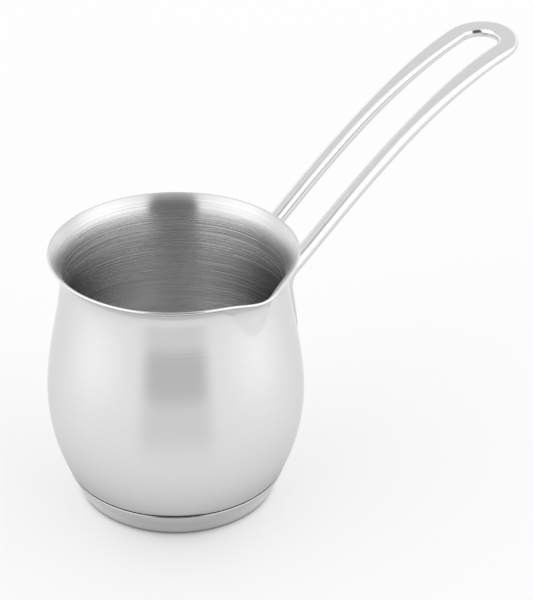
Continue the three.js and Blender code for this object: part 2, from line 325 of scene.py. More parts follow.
def closed_skin(name, rings, ends, along):
    """A closed mesh over rings of points, with one point in the middle of each end.

    The round trip crossed with the way along points outwards. The UV map has the distance along the rings in
    u, with a millimetre more at each end's middle, and the share of a turn in v.
    """
    count, around = rings.shape[:2]
    here = np.arange(around)
    after = (here + 1) % around
    last = (count - 1) * around
    tip, tail = count * around, count * around + 1
    tip_fan = np.stack((np.full(around, tip), after, here), axis=-1)
    tail_fan = np.stack((np.full(around, tail), last + here, last + after), axis=-1)
    faces = ring_faces(count, around).tolist() + tip_fan.tolist() + tail_fan.tolist()

    mesh = bpy.data.meshes.new(name)
    mesh.from_pydata(np.concatenate((rings.reshape(-1, 3), ends)).tolist(), [], faces)

    step = np.stack((here, here + 1, here + 1, here), axis=-1) / around
    quad_v = np.broadcast_to(step, (count - 1, around, 4))
    quad_u = np.stack((along[:-1], along[:-1], along[1:], along[1:]), axis=-1)
    quad_u = np.broadcast_to(quad_u[:, None, :], (count - 1, around, 4))
    tip_v = np.stack((here + 0.5, here + 1, here), axis=-1) / around
    tail_v = tip_v[:, (0, 2, 1)]
    tip_u = np.broadcast_to((along[0] - MM, along[0], along[0]), (around, 3))
    tail_u = np.broadcast_to((along[-1] + MM, along[-1], along[-1]), (around, 3))
    u = np.concatenate((quad_u.ravel(), tip_u.ravel(), tail_u.ravel()))
    v = np.concatenate((quad_v.ravel(), tip_v.ravel(), tail_v.ravel()))
    mesh.uv_layers.new(name="brush_lines").data.foreach_set("uv", np.column_stack((u, v)).ravel())
    mesh.polygons.foreach_set("use_smooth", np.ones(len(mesh.polygons), bool))
    return mesh


def add_attribute(mesh, name, kind, values):
    """Stores one value for each point of a mesh."""
    field = "vector" if kind == "FLOAT_VECTOR" else "value"
    data = mesh.attributes.new(name, kind, "POINT").data
    data.foreach_set(field, np.asarray(values, np.float32).ravel())


def turned_skin(name, profile, count, press=None):
    """A closed mesh turned about the Z axis from an outline that starts and ends on the axis.

    The attribute lay holds the cosine and sine of a point's direction from the axis and its distance along
    the outline, so that a pattern can run round the pot without a seam.
    """
    along = lengths(profile)
    rings = turned(profile[1:-1], count)
    if press is not None:
        rings = press(rings)
    ends = np.array(((0, 0, profile[0, 1]), (0, 0, profile[-1, 1])))
    mesh = closed_skin(name, rings, ends, along[1:-1])
    turn = np.arange(count) / count * TURN
    distance = np.broadcast_to(along[1:-1, None], rings.shape[:2])
    facing = np.broadcast_to(np.column_stack((np.cos(turn), np.sin(turn))), (*distance.shape, 2))
    lay = np.concatenate((facing, distance[..., None]), axis=-1)
    end_lay = np.array(((0, 0, along[0]), (0, 0, along[-1])))
    add_attribute(mesh, "lay", "FLOAT_VECTOR", np.concatenate((lay.reshape(-1, 3), end_lay)))
    return mesh


def add_object(name, data):
    """Links a new object into the scene."""
    made = bpy.data.objects.new(name, data)
    bpy.context.scene.collection.objects.link(made)
    return made


def place(mesh, finish, nodes):
    """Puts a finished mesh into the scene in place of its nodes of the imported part."""
    mesh.validate()
    mesh.materials.append(finish)
    piece = add_object(mesh.name, mesh)
    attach(piece, "root")
    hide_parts(*nodes)


# Vessel


def flare_arc(sizes):
    """The radius of the flare's outer arc and its angle at the lip.

    The arc is upright at the neck and passes half a wall outside the centre of the round lip, which fixes its
    radius by the right triangle from the arc's centre to the lip's centre.
    """
    out = sizes.rim_radius - sizes.wall / 2 - sizes.neck_radius
    up = sizes.height - sizes.wall / 2 - sizes.neck_height
    radius = (out**2 + up**2 - (sizes.wall / 2) ** 2) / (2 * out + sizes.wall)
    return radius, math.pi - math.asin(up / (radius + sizes.wall / 2))


def bottom_corner(sizes):
    """The centre of the vessel's bottom corner and the angle at which it meets the wide arc below the belly.

    The corner touches the flat bottom and lies within the wide arc, which fixes its centre by a right
    triangle.
    """
    arm = sizes.lower_arc - sizes.corner
    drop = sizes.belly_height - sizes.bottom - sizes.corner
    reach = sizes.belly_radius - sizes.lower_arc + math.sqrt(arm**2 - drop**2)
    return np.array((reach, sizes.bottom + sizes.corner)), -math.asin(drop / arm)


def wall_profile(sizes, inset):
    """One face of the vessel's wall as (radius, height), from the flat bottom up to the lip.

    A corner arc, a wide arc out to the belly, a cubic curve that is upright at the belly and at the neck, and
    the flare's arc, each moved inwards along its normal by the inset.
    """
    corner_centre, meet = bottom_corner(sizes)
    lower_centre = (sizes.belly_radius - sizes.lower_arc, sizes.belly_height)
    corner = arc(corner_centre, sizes.corner - inset, -QUARTER, meet, CORNER_POINTS)
    lower = arc(lower_centre, sizes.lower_arc - inset, meet, 0, LOWER_POINTS)
    rise, tangent = cubic(
        np.array((sizes.belly_radius, sizes.belly_height)),
        np.array((sizes.belly_radius, sizes.belly_height + sizes.belly_tension)),
        np.array((sizes.neck_radius, sizes.neck_height - sizes.neck_tension)),
        np.array((sizes.neck_radius, sizes.neck_height)),
        RISE_POINTS,
    )
    rise = rise + inset * np.column_stack((-tangent[:, 1], tangent[:, 0]))
    radius, lip_angle = flare_arc(sizes)
    flare_centre = (sizes.neck_radius + radius, sizes.neck_height)
    flare = arc(flare_centre, radius + inset, math.pi, lip_angle, FLARE_POINTS)
    return chain(corner, lower, rise, flare)


def wall_radius(sizes, height):
    """The vessel's outer radius at a height, read off the outer face below the flare."""
    profile = wall_profile(sizes, 0)
    return np.interp(height, profile[:, 1], profile[:, 0])


def press_spout(points, sizes):
    """Moves points of the vessel outwards and down where the spout is pressed out of the rim.

    The full press is a bell curve of the angle from the spout's middle. The spout's lower edge lies below
    the rim by the spout's depth times a power of that. From the edge the press grows evenly with the height,
    until it is full, and both corners are eased.
    """
    x, y, z = np.moveaxis(points, -1, 0)
    aside = (np.arctan2(y, x) - sizes.spout_direction + math.pi) % TURN - math.pi
    full = bell(aside, sizes.spout_half_angle)
    above = full**sizes.spout_power * sizes.spout_depth - (sizes.height - z)
    grown = eased(above / (sizes.spout_depth - sizes.spout_throat), sizes.spout_crease)
    press = full - eased(full - grown, sizes.throat_crease * full)
    radius = np.maximum(np.hypot(x, y), MM)
    out = 1 + sizes.spout_pull * press / radius
    return np.stack((x * out, y * out, z - sizes.spout_drop * press), axis=-1)


# Base


def cap_lip(vessel, base):
    """The centre of the cap's round lip: out from the vessel's corner by the seam and half the cap's wall."""
    centre, _ = bottom_corner(vessel)
    return centre + ray(vessel.corner + base.seam_gap + base.cap_wall / 2, -base.seam_angle)


def cap_radius(vessel, base, inset, height):
    """The radius of the cap's tapered side at a height, set in squarely from its outside.

    The side is the straight line that touches the lip's circle and leans by the taper.
    """
    lip = cap_lip(vessel, base)
    lean = (height - lip[1]) * math.sin(base.cap_taper)
    return lip[0] + (base.cap_wall / 2 - inset + lean) / math.cos(base.cap_taper)


# Handle


def foot_reach(vessel, handle, height):
    """The distance of a foot's centre line from the pot's axis, along X, where it lies along the wall.

    The centre stands off the wall by the gap and half a rod less the flat, and the reach is the other side of
    the right triangle whose short side is half the foot spacing.
    """
    centre = wall_radius(vessel, height) + handle.standoff + handle.rod / 2 - handle.flat_depth
    return np.sqrt(centre**2 - (handle.foot_spacing / 2) ** 2)


def foot_turn(vessel, handle, height):
    """The angle about the upright by which a foot faces the wall squarely."""
    return math.atan2(handle.foot_spacing / 2, foot_reach(vessel, handle, height))


def leg_path(vessel, handle):
    """The stations of one leg, from the foot's tip to the loop.

    Each has its reach and height, half the spacing there, the twist towards the wall, the size of the
    section, the share of the foot's flat, and the share of the flattened bar.
    """
    foot_height = handle.foot_tip + (handle.foot_top - handle.foot_tip) * np.linspace(0, 1, FOOT_POINTS)
    foot = np.column_stack((foot_reach(vessel, handle, foot_height), foot_height))
    rounded = np.clip((foot_height - handle.foot_tip) / handle.tip_length, 0, 1)
    foot_size = handle.tip_share + (1 - handle.tip_share) * np.sqrt(1 - (1 - rounded) ** 2)

    climb = foot[-1] - foot[-FOOT_SLOPE_POINTS]
    start = math.atan2(climb[1], climb[0]) + QUARTER
    end = handle.start_slope + QUARTER
    bend_centre = foot[-1] - ray(handle.bend_radius, start)
    bend = arc(bend_centre, handle.bend_radius, start, end, BEND_POINTS)
    bend_foot = 1 - smoothstep(np.linspace(0, 1, BEND_POINTS), 0, 1)

    loop = np.array((handle.loop_reach, handle.loop_height))
    start_arm = bend[-1] + ray(handle.start_tension, handle.start_slope)
    end_arm = loop - ray(handle.end_tension, handle.end_slope)
    dense, _ = cubic(bend[-1], start_arm, end_arm, loop, LEG_SAMPLES)
    gone = lengths(dense)
    shares = np.linspace(0, 1, LEG_POINTS)
    leg = np.column_stack([np.interp(shares * gone[-1], gone, dense[:, axis]) for axis in (0, 1)])

    plan = chain(foot, bend, leg)
    before = np.zeros(len(foot) + len(bend) - 1)
    leg_share = np.concatenate((before, shares[1:]))
    spread = (handle.foot_spacing + (handle.loop_spacing - handle.foot_spacing) * leg_share) / 2
    flat = smoothstep(leg_share, handle.flatten_start, handle.flatten_end)
    size_share = np.concatenate((foot_size, np.ones(len(plan) - len(foot))))
    foot_share = np.concatenate((np.ones(len(foot)), bend_foot[1:], np.zeros(len(leg) - 1)))
    twist = foot_turn(vessel, handle, handle.foot_top) * foot_share
    return plan, spread, twist, size_share, foot_share, flat


def handle_path(vessel, handle):
    """Centre line, upward direction and section shares of the whole rod: left leg, loop, right leg.

    A leg's upward direction is its slope turned a quarter up, and twisted towards the wall at the foot. The
    loop is half a circle in the plane of the legs' end slope.
    """
    plan, spread, twist, size_share, foot_share, flat = leg_path(vessel, handle)
    slope = np.gradient(plan, axis=0)
    slope /= np.linalg.norm(slope, axis=1, keepdims=True)
    left = np.column_stack((plan[:, 0], -spread, plan[:, 1]))
    up = np.column_stack((-slope[:, 1] * np.cos(twist), np.sin(twist), slope[:, 0] * np.cos(twist)))
    mirror = np.array((1, -1, 1))

    turn = np.linspace(-QUARTER, QUARTER, LOOP_POINTS)[1:-1, None]
    forward = np.array((math.cos(handle.end_slope), 0, math.sin(handle.end_slope)))
    sideways = np.array((0, 1, 0))
    centre = np.array((handle.loop_reach, 0, handle.loop_height))
    loop = centre + handle.loop_spacing / 2 * (np.cos(turn) * forward + np.sin(turn) * sideways)
    loop_up = np.broadcast_to(np.cross(forward, sideways), loop.shape)

    centres = np.concatenate((left, loop, (left * mirror)[::-1]))
    ups = np.concatenate((up, loop_up, (up * mirror)[::-1]))
    ones, zeros = np.ones(len(loop)), np.zeros(len(loop))
    shares = [
        np.concatenate((leg, bow, leg[::-1]))[:, None]
        for leg, bow in ((size_share, ones), (foot_share, zeros), (flat, ones))
    ]
    return centres, ups, *shares


def rod_rings(handle, centres, ups, size_share, foot_share, flat):
    """Rings of the rod's skin: a section carried along the centre line.

    The section is a circle whose two halves are drawn apart by half the flat each, so that it has flats above
    and below and round sides at the loop. The side that faces the wall is planed flat at the foot.
    """
    along = np.gradient(centres, axis=0)
    along /= np.linalg.norm(along, axis=1, keepdims=True)
    across = np.cross(ups, along)
    across /= np.linalg.norm(across, axis=1, keepdims=True)
    half_thick = size_share * (handle.rod + (handle.bar_thickness - handle.rod) * flat) / 2
    half_flat = size_share * flat * (handle.bar_width - handle.bar_thickness) / 2
    turn = (np.arange(ROD_SIDES) + 0.5) / ROD_SIDES * TURN
    aside = half_thick * np.cos(turn) + half_flat * np.sign(np.cos(turn))
    above = np.minimum(half_thick * np.sin(turn), half_thick - handle.flat_depth * foot_share)
    return centres[:, None] + aside[..., None] * across[:, None] + above[..., None] * ups[:, None]


# Finishes

# The range that a noise mostly keeps to
NOISE_LOW = 0.3
NOISE_HIGH = 0.7

# The brushed inside, with stops of (share of the brushed height, level)
BRUSHED_HEIGHT = 100 * MM
GROOVE_DEPTH = 0.4 * MM
GROOVE_STOPS = (
    (0.1, 0.1),
    (0.3, 0.72),
    (0.66, 0.88),
    (0.74, 0.9),
    (0.82, 0.82),
    (0.88, 0.3),
    (0.92, 0.06),
)
RIDGE_WIDTH = 0.1 * MM
RIDGE_SLOPE_STOPS = (
    (0.1, 0.02),
    (0.4, 0.2),
    (0.6, 0.26),
    (0.72, 0.33),
    (0.8, 0.37),
    (0.85, 0.32),
    (0.9, 0.05),
)
BRUSHED_ROUGHNESS_STOPS = ((0.6, 0.21), (0.75, 0.27), (0.82, 0.28), (0.89, 0.26))


def grey(level):
    """An opaque grey."""
    return (level, level, level, 1.0)


def add_node(tree, kind, inputs=None, **settings):
    """Adds a node with its settings, and sets or links its inputs."""
    made = tree.nodes.new(kind)
    for name, value in settings.items():
        setattr(made, name, value)
    for name, value in (inputs or {}).items():
        if isinstance(value, bpy.types.NodeSocket):
            tree.links.new(value, made.inputs[name])
        else:
            made.inputs[name].default_value = value
    return made


def new_finish(name):
    """A material without nodes, and its node tree."""
    finish = bpy.data.materials.new(name)
    finish.use_nodes = True
    finish.node_tree.nodes.clear()
    return finish, finish.node_tree


def close_finish(tree, kind, inputs):
    """Adds a shader and joins it to the material's output."""
    shader = add_node(tree, kind, inputs)
    add_node(tree, "ShaderNodeOutputMaterial", {"Surface": shader.outputs[0]})


def close_metal(tree, inputs):
    """Ends a finish with the shader of a metal."""
    close_finish(tree, "ShaderNodeBsdfPrincipled", {"Metallic": 1.0, **inputs})


def object_space(tree):
    """The place on a piece, in metres."""
    return add_node(tree, "ShaderNodeTexCoord").outputs["Object"]


def stored(tree, name, output="Fac"):
    """A value that the mesh stores at its points."""
    made = add_node(tree, "ShaderNodeAttribute", attribute_name=name, attribute_type="GEOMETRY")
    return made.outputs[output]


def worked_out(tree, operation, *values):
    """The result of one step of arithmetic."""
    return add_node(tree, "ShaderNodeMath", dict(enumerate(values)), operation=operation).outputs["Value"]


def third_part(tree, vector):
    """The third part of a vector."""
    return add_node(tree, "ShaderNodeSeparateXYZ", {"Vector": vector}).outputs["Z"]


def noise(tree, vector, scale, detail):
    """A noise read at a vector."""
    inputs = {"Vector": vector, "Scale": scale, "Detail": detail}
    return add_node(tree, "ShaderNodeTexNoise", inputs).outputs["Fac"]


def streaks(tree, around, along):
    """Lines round the pot: the mean of noises that are slow round it and each quick along its outline."""
    lay = stored(tree, "lay", "Vector")
    total = 0.0
    for fineness in along:
        inputs = {"Vector": lay, "Scale": (around, around, fineness)}
        drawn = add_node(tree, "ShaderNodeMapping", inputs).outputs["Vector"]
        line = noise(tree, drawn, scale=1.0, detail=1.0)
        total = worked_out(tree, "MULTIPLY_ADD", line, 1 / len(along), total)
    return total


def mapped(tree, value, low=0.0, high=1.0, start=NOISE_LOW, end=NOISE_HIGH):
    """A value spread evenly from one range, a noise's if none is given, to another, and held within it."""
    inputs = {"Value": value, "From Min": start, "From Max": end, "To Min": low, "To Max": high}
    return add_node(tree, "ShaderNodeMapRange", inputs).outputs["Result"]


def grey_ramp(tree, value, stops):
    """A grey level read off straight lines through stops of (place, level)."""
    made = add_node(tree, "ShaderNodeValToRGB", {"Fac": value})
    elements = made.color_ramp.elements
    while len(elements) < len(stops):
        elements.new(0.5)
    for element, (spot, level) in zip(elements, stops):
        element.position = spot
        element.color = grey(level)
    return made.outputs["Color"]


def mixed(tree, value, first, second):
    """The first colour where a value is 0, the second where it is 1, and an even mix between."""
    inputs = {"Factor": value, "A": first, "B": second}
    return add_node(tree, "ShaderNodeMix", inputs, data_type="RGBA").outputs["Result"]


def shaded(tree, base, value, depth):
    """A colour that is darker by the depth where a value is 0, and full where it is 1."""
    dark = tuple(channel * (1 - depth) for channel in base)
    return mixed(tree, value, (*dark, 1.0), (*base, 1.0))


def bumped(tree, height, rise):
    """The normal of a surface that stands up by the rise where the height is 1."""
    inputs = {"Height": height, "Distance": rise, "Strength": 1.0}
    return add_node(tree, "ShaderNodeBump", inputs).outputs["Normal"]


def brush_tangent(tree):
    """The direction of the brush lines, read off the piece's UV map."""
    made = add_node(tree, "ShaderNodeTangent", direction_type="UV_MAP", uv_map="brush_lines")
    return made.outputs["Tangent"]


def satin_steel(base):
    """Smooth satin steel of the vessel's outside, with the faintest lines round it."""
    finish, tree = new_finish("satin_steel")
    lines = streaks(tree, around=1.6, along=(1500.0, 2800.0))
    inputs = {
        "Base Color": shaded(tree, base, mapped(tree, lines), depth=0.02),
        "Roughness": mapped(tree, lines, low=0.12, high=0.14),
        "Specular Tint": grey(0.93),
        "Anisotropic": 0.3,
        "Normal": bumped(tree, lines, rise=0.008 * MM),
        "Tangent": brush_tangent(tree),
    }
    close_metal(tree, inputs)
    return finish


def brushed_steel(base):
    """Steel brushed round the vessel's inside, whose grooves draw its highlights upright.

    The relief is the streaks times a groove's depth, plus fine ridges of even slope: the distance along the
    outline, shifted by the streaks and folded back and forth over a ridge's width, times the slope. Depth,
    slope and roughness change with the height.
    """
    finish, tree = new_finish("brushed_steel")
    lines = streaks(tree, around=0.5, along=(1900.0, 3800.0))
    height = mapped(tree, third_part(tree, object_space(tree)), start=0.0, end=BRUSHED_HEIGHT)
    groove = worked_out(tree, "MULTIPLY", grey_ramp(tree, height, GROOVE_STOPS), GROOVE_DEPTH)
    grooves = worked_out(tree, "MULTIPLY", lines, groove)
    along = third_part(tree, stored(tree, "lay", "Vector"))
    shifted = worked_out(tree, "MULTIPLY_ADD", lines, RIDGE_WIDTH, along)
    ridges = worked_out(tree, "PINGPONG", shifted, RIDGE_WIDTH)
    slope = grey_ramp(tree, height, RIDGE_SLOPE_STOPS)
    relief = worked_out(tree, "MULTIPLY_ADD", ridges, slope, grooves)
    rough = grey_ramp(tree, height, BRUSHED_ROUGHNESS_STOPS)
    inputs = {
        "Base Color": shaded(tree, base, mapped(tree, lines), depth=0.14),
        "Roughness": worked_out(tree, "MULTIPLY", rough, mapped(tree, lines, low=1.05, high=0.95)),
        "Specular Tint": grey(0.65),
        "Anisotropic": 1.0,
        "Normal": bumped(tree, relief, rise=1.0),
        "Tangent": brush_tangent(tree),
    }
    close_metal(tree, inputs)
    return finish


def base_steel(base):
    """Finer satin steel of the base cap, turned in rings, with painted shade that darkens the lip."""
    finish, tree = new_finish("base_steel")
    lines = streaks(tree, around=0.6, along=(1700.0, 3400.0))
    # Painted shade: the lip's colour is darkened, dimming its highlight
    bright = worked_out(tree, "SUBTRACT", mapped(tree, lines, low=0.88), stored(tree, "painted_lip_shade"))
    inputs = {
        "Base Color": shaded(tree, base, bright, depth=0.3),
        "Roughness": mapped(tree, lines, low=0.26, high=0.22),
        "Anisotropic": 0.7,
        "Normal": bumped(tree, lines, rise=0.004 * MM),
        "Tangent": brush_tangent(tree),
    }
    close_metal(tree, inputs)
    return finish


def polished_steel(base):
    """Mirror-polished steel with a trace of polishing haze."""
    finish, tree = new_finish("polished_steel")
    spot = object_space(tree)
    haze = noise(tree, spot, scale=350.0, detail=4.0)
    swell = noise(tree, spot, scale=60.0, detail=1.0)
    inputs = {
        "Base Color": shaded(tree, base, mapped(tree, haze), depth=0.04),
        "Roughness": mapped(tree, haze, low=0.07, high=0.12),
        "Normal": bumped(tree, swell, rise=0.06 * MM),
    }
    close_metal(tree, inputs)
    return finish


def mottled_metal(name, base, scale, detail, depth, roughness, rise):
    """A dull metal whose colour, roughness and height follow one noise."""
    finish, tree = new_finish(name)
    mottle = noise(tree, object_space(tree), scale, detail)
    low, high = roughness
    inputs = {
        "Base Color": shaded(tree, base, mapped(tree, mottle), depth),
        "Roughness": mapped(tree, mottle, low, high),
        "Normal": bumped(tree, mottle, rise),
    }
    close_metal(tree, inputs)
    return finish


def disc_aluminium(base):
    """Rolled aluminium, dull and slightly mottled."""
    return mottled_metal(
        "disc_aluminium", base, scale=900.0, detail=5.0, depth=0.25, roughness=(0.42, 0.6), rise=0.03 * MM
    )


def weld_steel(base):
    """Fused steel with a straw and brown heat tint."""
    return mottled_metal(
        "weld_steel", base, scale=1400.0, detail=4.0, depth=0.45, roughness=(0.35, 0.55), rise=0.08 * MM
    )


def light_table(base):
    """Matt white board, faintly uneven, lit from below as its attribute glow says, with a painted shadow
    round the pot.
    """
    finish, tree = new_finish("light_table")
    cloud = noise(tree, object_space(tree), scale=3.0, detail=2.0)
    inputs = {
        "Base Color": shaded(tree, base, mapped(tree, cloud), depth=0.01),
        "Roughness": 0.8,
        "Specular IOR Level": 0.1,
        "Emission Color": grey(1.0),
        # The glow holds a painted shadow round the pot's foot
        "Emission Strength": stored(tree, "glow"),
    }
    close_finish(tree, "ShaderNodeBsdfPrincipled", inputs)
    finish.cycles.emission_sampling = "NONE"
    return finish


def plain_glow():
    """Plain light, as strong as the attribute glow says, which holds painted light and shade."""
    finish, tree = new_finish("painted_reflection_glow")
    close_finish(tree, "ShaderNodeEmission", {"Strength": stored(tree, "glow")})
    finish.cycles.emission_sampling = "NONE"
    return finish


# Stage

# Rings of the floor and of the mirrored table: even steps near the pot, and growing ones beyond
NEAR_STEP = 0.5 * MM
NEAR_END = 60 * MM
FAR_START = 62 * MM
FLOOR_START = 30 * MM
FLOOR_FAR_POINTS = 40
TABLE_START = 33 * MM
TABLE_FAR_POINTS = 70
TABLE_HEIGHT = 0.2 * MM

# The painted shadow in the floor's glow round the pot's foot, as (strength, length) of its narrow and its
# wide part
FRONT_SPREAD = math.radians(35)
FRONT_SHADE = ((0.5, 1.8 * MM), (0.22, 20 * MM))
ROUND_SHADE = ((0.6, 0.8 * MM), (0.05, 40 * MM))

# Levels of the mirrored table's glow, painted light and shade of the floor for the pot's reflections, and the
# radii and angles between which it changes
TABLE_LEVEL = 0.97
TABLE_RISE = 7.6 * MM
TABLE_POWER = 0.55
TABLE_EDGE = 35 * MM, 38 * MM
RING_LEVEL = 0.5
RING_SIDE_LEVEL = 0.27
RING_SIDE_ANGLES = math.radians(10), math.radians(75)
RING_START = 33.6 * MM, 35 * MM
RING_END = 37 * MM, 39.5 * MM
LAMP_LEVEL = 0.22
LAMP_RADII = 40 * MM, 380 * MM
SHADE_LEVEL = 0.165
SHADE_RADII = 60 * MM, 170 * MM
SHADE_EDGE = math.radians(9)
# Painted shade in the mirrored table's glow, further out in front of the pot than the camera's shade
FAR_FRONT_SHADE_LEVEL = 0.20
FAR_FRONT_SHADE_EDGE = 25 * MM
BACK_LEVEL = 0.04
BACK_ANGLES = math.radians(95), math.radians(130)

# The studio's light, with stops of (half turns from the camera, level), and the rises between its parts
STUDIO_STRENGTH = 1.7
STUDIO_STOPS = ((0.0, 0.08), (0.13, 0.08), (0.155, 0.8), (0.35, 1.0), (0.52, 1.0))
STUDIO_BACK_START = 0.65
STUDIO_LOW_BACK = 0.78
STUDIO_HIGH_BACK = 0.57
STUDIO_CEILING = 0.56
STUDIO_HIGH_RISE = 0.3, 0.55
STUDIO_CEILING_RISE = 0.78, 0.99


def stage_turns(stage):
    """Directions about the pot's axis, and the angle of each from the direction of the camera."""
    turn = np.arange(STAGE_SIDES) / STAGE_SIDES * TURN
    return turn - QUARTER - stage.plan_turn, np.abs((turn + math.pi) % TURN - math.pi)


def stage_radii(start, end, far_points):
    """The radii of the stage's rings: in even steps near the pot, and then each a fixed share larger."""
    near = np.arange(start, NEAR_END + NEAR_STEP / 2, NEAR_STEP)
    return np.concatenate((near, np.geomspace(FAR_START, end, far_points)))


def fading(distance, parts):
    """The sum of strengths, each times e to the power of minus the distance over its length."""
    return sum(strength * np.exp(-distance / length) for strength, length in parts)


def floor_glow_less_painted_shadow(stage, radius, aside):
    """The light that comes up through the floor, less a painted shadow round the pot's foot.

    The painted shadow falls with the distance from the foot. A bell curve of the angle from the camera mixes
    the painted shadow in front of the pot with the one round the rest of it.
    """
    away = np.maximum(radius - stage.foot_radius, 0)
    front = bell(aside, FRONT_SPREAD)
    # Painted shadow: a narrow and a wide part, mixed by the angle from the camera
    shade = front * fading(away, FRONT_SHADE) + (1 - front) * fading(away, ROUND_SHADE)
    return stage.floor_glow * (1 - shade)


def painted_table_light(stage, radius, aside):
    """The light of the table that the pot mirrors, painted with the floor's light and shade.

    The open table rises as 1 less e to minus a power of the distance from its start, a painted shadow round
    the foot, and the base mirrors a narrow ring round the foot, brighter at the sides, also painted shade.
    Each lamp adds a painted pool of light, a bell curve of the angle. The camera's painted shade and a
    painted darker patch further out take from the light in front, and a little painted shade is taken close
    behind.
    """
    # Painted shadow round the foot, and the ring of painted shade that the base mirrors
    rise = 1 - np.exp(-(((radius - TABLE_START) / TABLE_RISE) ** TABLE_POWER))
    open_table = TABLE_LEVEL * rise * smoothstep(radius, *TABLE_EDGE)
    side = RING_SIDE_LEVEL * smoothstep(aside, *RING_SIDE_ANGLES)
    ring = (RING_LEVEL + side) * smoothstep(radius, *RING_START)
    ring += (RING_LEVEL - ring) * smoothstep(radius, *RING_END)
    # Painted pools of lamp light on either side of the camera
    far = smoothstep(radius, *LAMP_RADII)
    lamp = LAMP_LEVEL * far * bell(aside - stage.lamp_angle, stage.lamp_spread)
    # Painted shade of the camera in front, and a little painted shade behind
    front = 1 - smoothstep(aside, stage.shade_angle - SHADE_EDGE, stage.shade_angle + SHADE_EDGE)
    shade = SHADE_LEVEL * smoothstep(radius, *SHADE_RADII)
    # Painted shade: a darker patch further out in front of the pot
    far_front_shade = FAR_FRONT_SHADE_LEVEL * smoothstep(radius, stage.far_front_shade_start - FAR_FRONT_SHADE_EDGE, stage.far_front_shade_start + FAR_FRONT_SHADE_EDGE)
    back = BACK_LEVEL * (1 - far) * smoothstep(aside, *BACK_ANGLES)
    return np.maximum(ring, open_table) + lamp - front * (shade + far_front_shade) - back


def lay_out(name, points, faces, glow, finish):
    """Puts a flat mesh with a glow at each point into the scene."""
    mesh = bpy.data.meshes.new(name)
    mesh.from_pydata(points, [], faces)
    add_attribute(mesh, "glow", "FLOAT", glow)
    mesh.materials.append(finish)
    return add_object(name, mesh)


# Operators


class COFFEE_OT_vessel(bpy.types.Operator):
    """Make the drawn vessel with its flared rim and spout"""

    bl_idname = "coffee.vessel"
    bl_label = "Vessel"

    def execute(self, context):
        """The outline runs out along the bottom, up the outside, over the round lip and down the inside.

        From the top of the lip on, its faces have the inside's finish.
        """
        sizes = context.scene.coffee_vessel
        half = sizes.wall / 2
        _, lip_angle = flare_arc(sizes)
        lip_centre = (sizes.rim_radius - half, sizes.height - half)
        outside = wall_profile(sizes, 0)
        inside = wall_profile(sizes, sizes.wall)[::-1]
        under = np.linspace((0, sizes.bottom), outside[0], FLAT_POINTS)
        lip = arc(lip_centre, half, lip_angle - math.pi, lip_angle, EDGE_POINTS)
        floor = np.linspace(inside[-1], (0, sizes.bottom + sizes.wall), FLAT_POINTS)
        profile = chain(under, outside, lip, inside, floor)
        mesh = turned_skin("vessel", profile, POT_SIDES, lambda rings: press_spout(rings, sizes))
        colours = context.scene.coffee_finish
        place(mesh, satin_steel(colours.satin), ["pot_shell"])
        mesh.materials.append(brushed_steel(colours.brushed))
        lip_top = len(under) + len(outside) + len(lip) // 2 - 2
        within = np.append(np.arange(len(profile) - 3) >= lip_top, (False, True))
        mesh.polygons.foreach_set("material_index", np.repeat(within, POT_SIDES).astype(np.int32))
        return {"FINISHED"}


class COFFEE_OT_base_cap(bpy.types.Operator):
    """Make the steel cap under the vessel"""

    bl_idname = "coffee.base_cap"
    bl_label = "Base Cap"

    def execute(self, context):
        """The outline of a tapered cup: round lower corner, straight side, round lip, and back inside.

        An attribute marks the points of the lip, apart from the first two on the outside, for painted shade.
        """
        vessel, sizes = context.scene.coffee_vessel, context.scene.coffee_base
        taper = sizes.cap_taper
        corner = (cap_radius(vessel, sizes, sizes.cap_corner, sizes.cap_corner), sizes.cap_corner)
        outer = arc(corner, sizes.cap_corner, -QUARTER, -taper, EDGE_POINTS)
        top = arc(cap_lip(vessel, sizes), sizes.cap_wall / 2, -taper, math.pi - taper, EDGE_POINTS)
        inner = arc(corner, sizes.cap_corner - sizes.cap_wall, -taper, -QUARTER, EDGE_POINTS)
        under = np.linspace((0, 0), outer[0], FLAT_POINTS)
        side = np.linspace(outer[-1], top[0], CAP_SIDE_POINTS)
        back = np.linspace(top[-1], inner[0], CAP_SIDE_POINTS)
        within = np.linspace(inner[-1], (0, sizes.cap_wall), FLAT_POINTS)
        outline = chain(under, outer, side, top, back, inner, within)
        mesh = turned_skin("base_shoe", outline, POT_SIDES)
        ring = np.arange(len(outline) - 2) - (len(under) + len(outer) + len(side) - 4)
        # The lip's points, whose colour the base finish darkens as painted shade
        painted_lip_shade = np.repeat((ring > 1) & (ring < len(top)), POT_SIDES)
        add_attribute(mesh, "painted_lip_shade", "FLOAT", np.append(painted_lip_shade, (False, False)))
        place(mesh, base_steel(context.scene.coffee_finish.base), ["base_cap"])
        return {"FINISHED"}


